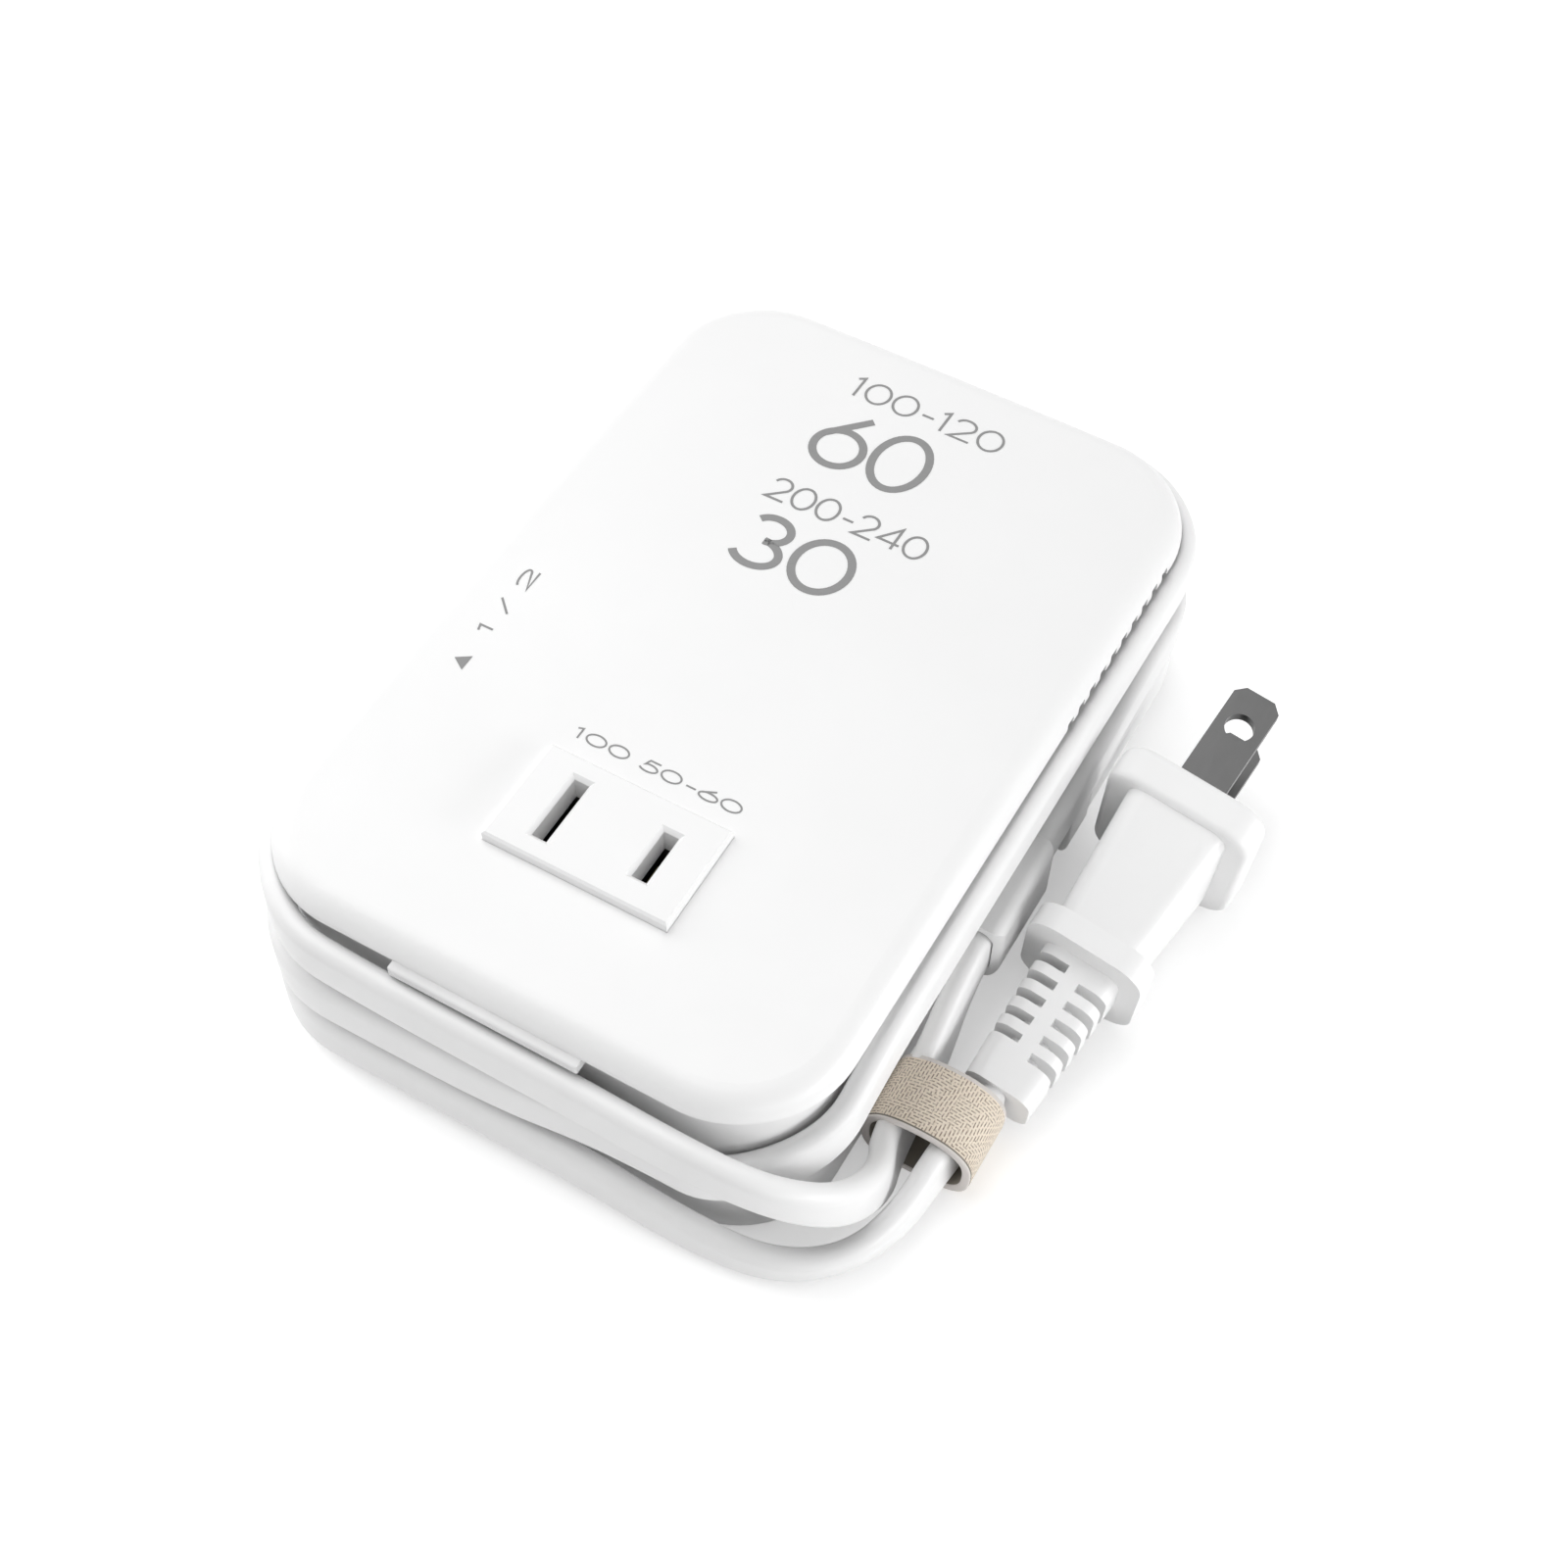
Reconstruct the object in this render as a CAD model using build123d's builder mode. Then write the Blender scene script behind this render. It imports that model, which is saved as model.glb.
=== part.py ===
from build123d import *
import os
from math import cos, pi, radians, sin, tan

# Travel voltage converter: a flat rounded case with an outlet on top, and its
# own flat lead wound three times round the drum below the cover's rim.
# Millimetres. X is the short side, +Y runs away from the outlet end, +Z is up.
# The origin is on the surface that it stands on, below the middle of the case.

os.makedirs("parts", exist_ok=True)

# Case
case_width = 75.0
case_length = 112.5
case_height = 33.0
corner_radius = 14.5
cover_depth = 4.6
crown_drop = 1.59
cover_edge_radius = 3.3
cover_wall = 2.2
rim_overhang = 1.3
drum_wall = 2.2
floor_wall = 2.2
foot_stand = 0.6
fit = 0.25
cut = 1.0

# Vents on the right, where the cover meets the drum
vent_count = 10
vent_pitch = 3.05
vent_width = 1.6
vent_depth = 2.4
vent_rise = 1.2
vent_inset = 29.25

# Outlet
plate_width = 24.6
plate_length = 14.6
plate_proud = 0.9
plate_thickness = 3.9
plate_inset = 22.55
plate_edge = 0.3
plate_fit = 0.05
slot_spacing = 12.7
slot_width = 2.0
wide_slot = 9.0
narrow_slot = 7.0
slot_lead_in = 0.5
housing_margin = 1.8
housing_depth = 15.0
housing_floor = 1.6
contact_wall = 0.7
contact_height = 10.0
contact_relief = 0.6

# Screws and feet
screw_inset_x = 9.2
screw_inset_y = 8.95
boss_diameter = 7.0
screw_head = 5.4
screw_shank = 2.9
screw_head_height = 1.8
screw_length = 14.0
pillar_height = 12.0
foot_inset_x = 12.2
foot_inset_y = 21.95
foot_diameter = 9.0
foot_recess = 1.0
foot_edge = 0.2

# Transformer
core_gap = 2.2
core_far_gap = 13.25
window_length = 27.0
bobbin_wall = 1.0
bobbin_below = 1.2
bobbin_above = 4.8
winding_inset = 1.0
clamp_thickness = 1.2
post_diameter = 4.0
post_inset = 3.0

# Circuit board and what stands on it
board_length = 42.0
board_thickness = 1.6
board_base = 10.0
board_gap = 0.6
board_near_gap = 4.3
usb_a_width = 13.1
usb_a_height = 5.7
usb_a_along = 15.0
usb_c_width = 8.9
usb_c_height = 3.2
usb_c_depth = 7.4
usb_c_along = 31.0
usb_shell = 0.35
usb_a_tongue = 1.8
usb_c_tongue = 0.7
usb_tongue_inset = 1.4
usb_back = 1.5
capacitor_diameter = 8.0
capacitor_gap = 6.2
choke_gap = 2.2
choke_height = 6.0
fuse_diameter = 5.2
fuse_near_gap = 1.4
fuse_far_gap = 1.0

# Lead: a flat oval that stands on edge round the drum
cord_thickness = 3.0
lap_gap = 1.15
cord_gap = 0.45
low_level = 5.6
mid_lift = 0.15
top_inset = 5.7
front_slack = 1.1
outer_slack = 4.1
tail_rise = 0.6
corner_rise = 1.8

# Tab, clip and exit on the drum
tab_width = 25.0
tab_reach = 1.2
tab_thickness = 1.4
tab_x = -1.0
tab_edge = 0.3
clip_length = 15.5
clip_along = 50.25
clip_reach = 5.5
clip_lip = 0.9
clip_skin = 1.0
clip_edge = 1.6
clip_run = 2.95
clip_drop = 1.7
exit_along = 74.95
exit_length = 7.0
exit_reach = 3.6
exit_lip = 0.2
exit_edge = 0.8

# Strap round two runs of the lead
strap_width = 14.4
strap_length = 9.6
strap_thickness = 1.0
strap_corner = 3.4
strap_slack = 0.7
strap_out = 7.6
strap_along = 18.15

# Plug: lies on its side beside the case, its blades pointing away
blade_width = 6.35
blade_thickness = 1.5
blade_spacing = 12.7
blade_reach = 16.0
blade_root = 6.0
blade_hole = 3.8
blade_hole_inset = 5.4
blade_tip = 1.2
plug_out = 18.1
plug_along = 88.85
plug_high = 15.98
plug_yaw = 5.3
plug_pitch = 9.75
plug_roll = 5.0
front_flange_width = 19.8
front_flange_height = 22.8
front_flange_length = 5.1
rear_flange_width = 15.8
rear_flange_height = 17.0
rear_flange_length = 3.3
flange_corner = 4.0
flange_edge = 0.9
grip_width = 13.6
grip_height = 20.4
waist_width = 11.4
waist_height = 15.6
grip_corner = 2.4
grip_length = 17.5
relief_width = 10.4
relief_height = 9.6
relief_end_width = 8.8
relief_end_height = 8.4
relief_length = 18.8
relief_corner = 2.2
relief_slots = 5
relief_pitch = 2.6
relief_slot_width = 1.2
relief_slot_first = 1.4

# Case shell, worked out
half_width = case_width / 2
half_length = case_length / 2
crown_radius = (half_width**2 + half_length**2 + crown_drop**2) / (2 * crown_drop)
drum_width = case_width - 2 * rim_overhang
drum_length = case_length - 2 * rim_overhang
drum_corner = corner_radius - rim_overhang
inner_width = drum_width - 2 * drum_wall
inner_length = drum_length - 2 * drum_wall
inner_corner = drum_corner - drum_wall
rim_height = case_height - cover_depth
floor_top = foot_stand + floor_wall
inner_height = case_height - cover_wall - floor_top
drum_x = drum_width / 2
drum_y = drum_length / 2
vent_centre = drum_y - vent_inset
plate_centre = plate_inset - drum_y
screw_x = drum_x - screw_inset_x
screw_y = drum_y - screw_inset_y
foot_x = drum_x - foot_inset_x
foot_y = drum_y - foot_inset_y
plate_top = case_height + plate_proud
plate_base = plate_top - plate_thickness
housing_width = plate_width + 2 * housing_margin
housing_length = plate_length + 2 * housing_margin
housing_base = plate_base - housing_depth
screw_places = [(x, y) for x in (-screw_x, screw_x) for y in (-screw_y, screw_y)]
foot_places = [(x, y) for x in (-foot_x, foot_x) for y in (-foot_y, foot_y)]
pillar_base = floor_top + pillar_height

# Inside, worked out: the board on the left and the transformer on the right
bay_width = inner_width - board_gap - 2 * core_gap
board_width = bay_width * 25 / 63
core_width = bay_width - board_width
leg_width = core_width * 6 / 19
yoke_width = leg_width / 2
window_width = (core_width - leg_width) / 2 - yoke_width
core_length = window_length + 2 * yoke_width
core_x = inner_width / 2 - core_gap - core_width / 2
core_y = inner_length / 2 - core_far_gap - core_length / 2
bobbin_height = inner_height - bobbin_below - bobbin_above
core_middle = floor_top + bobbin_below + bobbin_height / 2
stack_height = bobbin_height * 6 / 11
stack_base = core_middle - stack_height / 2
core_top = stack_base + stack_height
post_places = [
    (core_x + sx * (core_width / 2 - post_inset), core_y + sy * (core_length / 2 - post_inset))
    for sx in (-1, 1)
    for sy in (-1, 1)
]
board_x = -inner_width / 2 + board_gap + board_width / 2
board_right = board_x + board_width / 2
board_near = plate_centre + housing_length / 2 + board_near_gap
board_y = board_near + board_length / 2
usb_a_y = board_near + usb_a_along
usb_c_y = board_near + usb_c_along
board_top = board_base + board_thickness
capacitor_height = case_height - cover_wall - capacitor_gap - board_top
choke_outer = board_width * 11 / 25
choke_inner = choke_outer * 23 / 55
usb_a_depth = drum_x + board_right - choke_outer - board_gap - choke_gap
fuse_start = board_near + board_gap + choke_outer + fuse_near_gap
fuse_length = board_near + board_length - 3 * capacitor_diameter / 2 - fuse_far_gap - fuse_start
usb_a_z = board_top + usb_a_height / 2
usb_c_z = board_top + usb_c_height / 2

# Lead, worked out: three laps of equal pitch, and what stands by the near right corner
top_level = rim_height - top_inset
mid_level = (low_level + top_level) / 2 + mid_lift
cord_width = (top_level - low_level) / 2 - lap_gap
strap_height = cord_width + 2 * strap_thickness + 2 * strap_slack
strap_level = strap_height / 2
strap_x = drum_x + strap_out
strap_near = strap_along - drum_y
clip_x = drum_x + clip_reach
clip_far = clip_along - drum_y + clip_length / 2
clip_level = mid_level - clip_drop
exit_y = exit_along - drum_y
plug_tip = (drum_x + plug_out, plug_along - drum_y, plug_high)
clip_height = cord_width + 2 * fit + 2 * clip_lip
exit_x = drum_x + exit_reach
exit_height = cord_width + 2 * exit_lip
cord_round = cord_thickness / 2
plug_tilt = radians(plug_pitch)
plug_turn = radians(plug_yaw)

# Cover: a shallow crowned shell, open below

with BuildPart() as cover_core:
    with BuildSketch(Plane.XY.offset(rim_height)):
        RectangleRounded(inner_width, inner_length, inner_corner)
    extrude(amount=case_height - rim_height)
    with Locations((0, 0, case_height - cover_wall - crown_radius)):
        Sphere(crown_radius, rotation=(90, 0, 0), mode=Mode.INTERSECT)

with BuildPart() as top_cover:
    with BuildSketch(Plane.XY.offset(rim_height)):
        RectangleRounded(case_width, case_length, corner_radius)
    extrude(amount=case_height - rim_height)
    with Locations((0, 0, case_height - crown_radius)):
        Sphere(crown_radius, rotation=(90, 0, 0), mode=Mode.INTERSECT)
    fillet(top_cover.faces().sort_by(Axis.Z)[-1].edges(), cover_edge_radius)
    add(cover_core.part, mode=Mode.SUBTRACT)
    with BuildSketch(Plane.XY.offset(rim_height)):
        with Locations((0, plate_centre)):
            Rectangle(plate_width + 2 * plate_fit, plate_length + 2 * plate_fit)
    extrude(amount=case_height, mode=Mode.SUBTRACT)
    with BuildSketch(Plane.YZ.offset(inner_width / 2 - cut)):
        with Locations((vent_centre, rim_height + vent_rise / 2 - cut / 2)):
            with GridLocations(vent_pitch, 0, vent_count, 1):
                Rectangle(vent_width, vent_rise + cut)
    extrude(amount=drum_wall + rim_overhang + 2 * cut, mode=Mode.SUBTRACT)
    with BuildSketch(Plane.XY.offset(pillar_base)):
        with Locations(screw_places):
            Circle(boss_diameter / 2)
            Circle(screw_shank / 2, mode=Mode.SUBTRACT)
    extrude(amount=case_height - cover_wall - pillar_base)

top_cover.part.label = "top_cover"
export_step(top_cover.part, "parts/top_cover.step")

# Drum: floor, wall, pillars, posts and the holes in the wall

with BuildPart() as base_shell:
    with BuildSketch(Plane.XY.offset(foot_stand)):
        RectangleRounded(drum_width, drum_length, drum_corner)
    extrude(amount=rim_height - foot_stand)
    with BuildSketch(Plane.XY.offset(floor_top)):
        RectangleRounded(inner_width, inner_length, inner_corner)
    extrude(amount=rim_height, mode=Mode.SUBTRACT)
    with BuildSketch(Plane.XY.offset(foot_stand)):
        with Locations(screw_places):
            Circle(boss_diameter / 2)
    extrude(amount=pillar_base - foot_stand)
    with BuildSketch(Plane.XY.offset(foot_stand)):
        with Locations(post_places):
            Circle(post_diameter / 2)
    extrude(amount=stack_base - foot_stand)
    with BuildSketch(Plane.XY.offset(foot_stand)):
        with Locations((board_x, board_y)):
            with GridLocations(board_width - 2 * post_diameter, board_length - 2 * post_diameter, 2, 2):
                Circle(post_diameter / 2)
    extrude(amount=board_base - foot_stand)
    with BuildSketch(Plane.XY.offset(foot_stand)):
        with Locations((0, plate_centre)):
            with GridLocations(housing_width - 2 * post_diameter, housing_length - 2 * post_diameter, 2, 2):
                Circle(post_diameter / 2)
    extrude(amount=housing_base - foot_stand)
    with Locations([(x, y, foot_stand) for x, y in foot_places]):
        Cylinder(
            foot_diameter / 2 + fit,
            foot_recess,
            align=(Align.CENTER, Align.CENTER, Align.MIN),
            mode=Mode.SUBTRACT,
        )
    with Locations([(x, y, foot_stand) for x, y in screw_places]):
        Cylinder(
            screw_shank / 2 + fit,
            pillar_base,
            align=(Align.CENTER, Align.CENTER, Align.MIN),
            mode=Mode.SUBTRACT,
        )
        Cylinder(
            screw_head / 2 + fit,
            floor_top + screw_head_height,
            align=(Align.CENTER, Align.CENTER, Align.MIN),
            mode=Mode.SUBTRACT,
        )
    with BuildSketch(Plane.YZ.offset(inner_width / 2 - cut)):
        with Locations((vent_centre, rim_height - vent_depth / 2 + cut / 2)):
            with GridLocations(vent_pitch, 0, vent_count, 1):
                Rectangle(vent_width, vent_depth + cut)
    extrude(amount=drum_wall + 2 * cut, mode=Mode.SUBTRACT)
    with BuildSketch(Plane.YZ.offset(-drum_x - cut)):
        with Locations((usb_a_y, usb_a_z)):
            Rectangle(usb_a_width + 2 * fit, usb_a_height + 2 * fit)
        with Locations((usb_c_y, usb_c_z)):
            RectangleRounded(usb_c_width + 2 * fit, usb_c_height + 2 * fit, usb_c_height / 2)
    extrude(amount=drum_wall + 2 * cut, mode=Mode.SUBTRACT)

base_shell.part.label = "base_shell"
export_step(base_shell.part, "parts/base_shell.step")

# Screws, driven from below up into the cover's pillars, and rubber feet

for number, (x, y) in enumerate(screw_places, 1):
    head_seat = floor_top + screw_head_height
    with BuildPart() as case_screw:
        with BuildSketch(Plane.XY.offset(foot_stand + head_seat)):
            with Locations((x, y)):
                Circle(screw_shank / 2)
        extrude(amount=screw_length)
        with BuildSketch(Plane.XY.offset(foot_stand + head_seat)):
            with Locations((x, y)):
                Circle(screw_head / 2)
        extrude(amount=-screw_head_height)
    case_screw.part.label = f"case_screw_{number}"
    export_step(case_screw.part, f"parts/case_screw_{number}.step")

for number, (x, y) in enumerate(foot_places, 1):
    with BuildPart() as rubber_foot:
        with BuildSketch(Plane.XY):
            with Locations((x, y)):
                Circle(foot_diameter / 2)
        extrude(amount=foot_stand + foot_recess)
        fillet(rubber_foot.edges().group_by(Axis.Z)[0], foot_edge)
    rubber_foot.part.label = f"rubber_foot_{number}"
    export_step(rubber_foot.part, f"parts/rubber_foot_{number}.step")

# Outlet: the raised plate, the housing below it and two sprung contacts

with BuildPart() as socket_plate:
    with BuildSketch(Plane.XY.offset(plate_base)):
        with Locations((0, plate_centre)):
            Rectangle(plate_width, plate_length)
    extrude(amount=plate_thickness)
    chamfer(socket_plate.faces().sort_by(Axis.Z)[-1].edges(), plate_edge)
    with BuildSketch(Plane.XY.offset(plate_base)):
        with Locations((-slot_spacing / 2, plate_centre)):
            Rectangle(slot_width, wide_slot)
        with Locations((slot_spacing / 2, plate_centre)):
            Rectangle(slot_width, narrow_slot)
    extrude(amount=plate_thickness, mode=Mode.SUBTRACT)
    slot_rims = socket_plate.faces().sort_by(Axis.Z)[-1].inner_wires().edges()
    chamfer(slot_rims, slot_lead_in)

socket_plate.part.label = "socket_plate"
export_step(socket_plate.part, "parts/socket_plate.step")

contact_width = slot_width + 2 * contact_wall
cavity_width = contact_width + 2 * contact_relief

with BuildPart() as socket_housing:
    with BuildSketch(Plane.XY.offset(housing_base)):
        with Locations((0, plate_centre)):
            Rectangle(housing_width, housing_length)
    extrude(amount=housing_depth)
    with BuildSketch(Plane.XY.offset(housing_base + housing_floor)):
        with Locations((-slot_spacing / 2, plate_centre)):
            Rectangle(cavity_width, wide_slot)
        with Locations((slot_spacing / 2, plate_centre)):
            Rectangle(cavity_width, narrow_slot)
    extrude(amount=housing_depth, mode=Mode.SUBTRACT)

socket_housing.part.label = "socket_housing"
export_step(socket_housing.part, "parts/socket_housing.step")

for name, side, length in (("left", -1, wide_slot), ("right", 1, narrow_slot)):
    with BuildPart() as contact:
        with BuildSketch(Plane.XY.offset(housing_base + housing_floor)):
            with Locations((side * slot_spacing / 2, plate_centre)):
                Rectangle(contact_width, length - 2 * contact_relief)
        extrude(amount=contact_height)
        with BuildSketch(Plane.XY.offset(housing_base + housing_floor + contact_wall)):
            with Locations((side * slot_spacing / 2, plate_centre)):
                Rectangle(slot_width, length)
        extrude(amount=contact_height, mode=Mode.SUBTRACT)
    contact.part.label = f"socket_contact_{name}"
    export_step(contact.part, f"parts/socket_contact_{name}.step")

# Transformer: stack, bobbin, two windings and the clamp that holds it down

tube_inner = leg_width + 2 * fit
tube_outer = tube_inner + 2 * bobbin_wall
tube_height = stack_height + 2 * fit + 2 * bobbin_wall
bobbin_width = leg_width + 2 * window_width - 2 * fit
bobbin_length = window_length - 2 * fit
winding_width = bobbin_width - 2 * winding_inset
winding_height = bobbin_height - 2 * winding_inset
winding_length = (bobbin_length - 3 * bobbin_wall) / 2 - 2 * fit

with BuildPart() as transformer_core:
    with BuildSketch(Plane.XY.offset(stack_base)):
        with Locations((core_x, core_y)):
            Rectangle(core_width, core_length)
            with GridLocations(leg_width + window_width, 0, 2, 1):
                Rectangle(window_width, window_length, mode=Mode.SUBTRACT)
    extrude(amount=stack_height)

transformer_core.part.label = "transformer_core"
export_step(transformer_core.part, "parts/transformer_core.step")

bobbin_plane = Plane(origin=(core_x, core_y, core_middle), x_dir=(1, 0, 0), z_dir=(0, -1, 0))

with BuildPart() as bobbin:
    with BuildSketch(bobbin_plane.offset(-bobbin_length / 2)):
        Rectangle(tube_outer, tube_height)
    extrude(amount=bobbin_length)
    for share in (0, 1 / 2, 1):
        flange_start = -bobbin_length / 2 + share * (bobbin_length - bobbin_wall)
        with BuildSketch(bobbin_plane.offset(flange_start)):
            Rectangle(bobbin_width, bobbin_height)
        extrude(amount=bobbin_wall)
    with BuildSketch(bobbin_plane.offset(-bobbin_length / 2)):
        Rectangle(tube_inner, stack_height + 2 * fit)
    extrude(amount=bobbin_length, mode=Mode.SUBTRACT)

bobbin.part.label = "bobbin"
export_step(bobbin.part, "parts/bobbin.step")

for name, side in (("primary", 1), ("secondary", -1)):
    with BuildPart() as winding:
        winding_middle = side * (winding_length + bobbin_wall + 2 * fit) / 2
        with BuildSketch(bobbin_plane.offset(winding_middle - winding_length / 2)):
            RectangleRounded(winding_width, winding_height, winding_inset)
            Rectangle(tube_outer + fit, tube_height + fit, mode=Mode.SUBTRACT)
        extrude(amount=winding_length)
    winding.part.label = f"{name}_winding"
    export_step(winding.part, f"parts/{name}_winding.step")

with BuildPart() as transformer_clamp:
    with BuildSketch(Plane.XY.offset(floor_top)):
        with Locations((core_x, core_y)):
            Rectangle(core_width - 2 * yoke_width, core_length + 2 * clamp_thickness)
            Rectangle(core_width, core_length, mode=Mode.SUBTRACT)
    extrude(amount=core_top - floor_top)
    with BuildSketch(Plane.XY.offset(core_top)):
        with Locations((core_x, core_y)):
            Rectangle(core_width, core_length + 2 * clamp_thickness)
            Rectangle(bobbin_width + 2 * fit, window_length, mode=Mode.SUBTRACT)
    extrude(amount=clamp_thickness)

transformer_clamp.part.label = "transformer_clamp"
export_step(transformer_clamp.part, "parts/transformer_clamp.step")

# Circuit board, its two charging ports and its larger parts

with BuildPart() as circuit_board:
    with BuildSketch(Plane.XY.offset(board_base)):
        with Locations((board_x, board_y)):
            Rectangle(board_width, board_length)
    extrude(amount=board_thickness)

circuit_board.part.label = "circuit_board"
export_step(circuit_board.part, "parts/circuit_board.step")

with BuildPart() as usb_a_port:
    with BuildSketch(Plane.YZ.offset(-drum_x)):
        with Locations((usb_a_y, usb_a_z)):
            Rectangle(usb_a_width, usb_a_height)
    extrude(amount=usb_a_depth)
    with BuildSketch(Plane.YZ.offset(-drum_x)):
        with Locations((usb_a_y, usb_a_z)):
            Rectangle(usb_a_width - 2 * usb_shell, usb_a_height - 2 * usb_shell)
    extrude(amount=usb_a_depth - usb_back, mode=Mode.SUBTRACT)
    with BuildSketch(Plane.YZ.offset(-drum_x + usb_tongue_inset)):
        with Locations((usb_a_y, usb_a_z + usb_a_height / 2 - usb_shell - usb_a_tongue)):
            Rectangle(usb_a_width - 4 * usb_shell, usb_a_tongue)
    extrude(amount=usb_a_depth - usb_tongue_inset)

usb_a_port.part.label = "usb_a_port"
export_step(usb_a_port.part, "parts/usb_a_port.step")

with BuildPart() as usb_c_port:
    with BuildSketch(Plane.YZ.offset(-drum_x)):
        with Locations((usb_c_y, usb_c_z)):
            RectangleRounded(usb_c_width, usb_c_height, usb_c_height / 2 - usb_shell / 2)
    extrude(amount=usb_c_depth)
    with BuildSketch(Plane.YZ.offset(-drum_x)):
        with Locations((usb_c_y, usb_c_z)):
            RectangleRounded(
                usb_c_width - 2 * usb_shell,
                usb_c_height - 2 * usb_shell,
                usb_c_height / 2 - 3 * usb_shell / 2,
            )
    extrude(amount=usb_c_depth - usb_back, mode=Mode.SUBTRACT)
    with BuildSketch(Plane.YZ.offset(-drum_x + usb_tongue_inset)):
        with Locations((usb_c_y, usb_c_z)):
            Rectangle(usb_c_width - usb_c_height, usb_c_tongue)
    extrude(amount=usb_c_depth - usb_tongue_inset)

usb_c_port.part.label = "usb_c_port"
export_step(usb_c_port.part, "parts/usb_c_port.step")

part_x = board_right - choke_outer / 2 - board_gap

with BuildPart() as capacitor:
    with BuildSketch(Plane.XY.offset(board_top)):
        with Locations((part_x, board_y + board_length / 2 - capacitor_diameter)):
            Circle(capacitor_diameter / 2)
    extrude(amount=capacitor_height)

capacitor.part.label = "capacitor"
export_step(capacitor.part, "parts/capacitor.step")

with BuildPart() as choke:
    with BuildSketch(Plane.XY.offset(board_top)):
        with Locations((part_x, board_y - board_length / 2 + choke_outer / 2 + board_gap)):
            Circle(choke_outer / 2)
            Circle(choke_inner / 2, mode=Mode.SUBTRACT)
    extrude(amount=choke_height)

choke.part.label = "choke"
export_step(choke.part, "parts/choke.step")

with BuildPart() as fuse:
    with BuildSketch(Plane.XZ.offset(-fuse_start)):
        with Locations((board_right - fuse_diameter / 2 - board_gap, board_top + fuse_diameter / 2)):
            Circle(fuse_diameter / 2)
    extrude(amount=-fuse_length)

fuse.part.label = "fuse"
export_step(fuse.part, "parts/fuse.step")

# What holds the lead on the drum: tab under the rim, clip and moulded exit

with BuildPart() as cord_tab:
    with BuildSketch(Plane.XY.offset(rim_height)):
        with Locations((tab_x, -(drum_y + half_length + tab_reach) / 2)):
            Rectangle(tab_width, half_length + tab_reach - drum_y)
    extrude(amount=-tab_thickness)
    fillet(cord_tab.faces().sort_by(Axis.Y)[0].edges(), tab_edge)

cord_tab.part.label = "cord_tab"
export_step(cord_tab.part, "parts/cord_tab.step")

clip_cord_x = clip_x - clip_skin - fit - cord_round

with BuildPart() as cord_clip:
    with BuildSketch(Plane.XZ.offset(-clip_far)):
        with Locations(((drum_x + clip_x) / 2, clip_level)):
            Rectangle(clip_reach, clip_height)
    extrude(amount=clip_length)
    fillet(cord_clip.faces().sort_by(Axis.X)[-1].edges(), clip_edge)
    with BuildSketch(Plane.XZ.offset(-clip_far)):
        with Locations((clip_cord_x, clip_level)):
            SlotOverall(cord_width + 2 * fit, cord_thickness + 2 * fit, rotation=90)
    extrude(amount=clip_length, mode=Mode.SUBTRACT)

cord_clip.part.label = "cord_clip"
export_step(cord_clip.part, "parts/cord_clip.step")

with BuildPart() as cord_exit:
    with BuildSketch(Plane.XZ.offset(-exit_y)):
        with Locations(((drum_x + exit_x) / 2, low_level)):
            Rectangle(exit_reach, exit_height)
    extrude(amount=exit_length)
    fillet(cord_exit.faces().sort_by(Axis.X)[-1].edges(), exit_edge)

cord_exit.part.label = "cord_exit"
export_step(cord_exit.part, "parts/cord_exit.step")


# Lead. A corner of a lap is two route points, each turning it by 45 degrees.


def corner(side_x, side_y, away_x, away_y, height_in, height_out):
    """Both route points of a drum corner, in the order that the lap passes them."""
    across = drum_x + away_x
    along = drum_y + away_y
    arc = tan(radians(180 / 8)) * (drum_corner + (away_x + away_y) / 2)
    on_side = (side_x * across, side_y * (drum_y - drum_corner + arc))
    on_end = (side_x * (drum_x - drum_corner + arc), side_y * along)
    first, last = (on_side, on_end) if side_x * side_y > 0 else (on_end, on_side)
    return [(*first, height_in), (*last, height_out)]


def path_radii(points):
    """The radius at each corner: 0.45 of the shorter run over the tangent of half the turn."""
    found = []
    for before, here, after in zip(points, points[1:], points[2:]):
        run_in = Vector(*here) - Vector(*before)
        run_out = Vector(*after) - Vector(*here)
        half_turn = radians(run_in.get_angle(run_out)) / 2
        found.append(0.45 * min(run_in.length, run_out.length) / tan(half_turn))
    return found


def lead(name, points):
    """One unbroken flat tube on the route, its oval kept upright."""
    radii = path_radii(points)
    with BuildPart() as piece:
        with BuildLine() as route:
            FilletPolyline(*points, radius=radii)
        start = route.wires()[0]
        heading = start % 0
        with BuildSketch(Plane(origin=start @ 0, x_dir=(heading.Y, -heading.X, 0), z_dir=heading)):
            SlotOverall(cord_width, cord_thickness, rotation=90)
        sweep(path=start, binormal=start.moved(Location((0, 0, cord_width))))
    section = (cord_width - cord_thickness) * cord_thickness + pi * cord_round**2
    share = piece.part.volume / (section * start.length)
    print(name, "length", round(start.length, 1), "volume share", round(share, 4))
    print("  radii", [round(radius, 1) for radius in radii])
    piece.part.label = name
    export_step(piece.part, f"parts/{name}.step")
    count = int(start.length)
    return [start @ (step / count) for step in range(count + 1)]


side = cord_gap + cord_round
front = side + front_slack
outer = side + outer_slack

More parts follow.
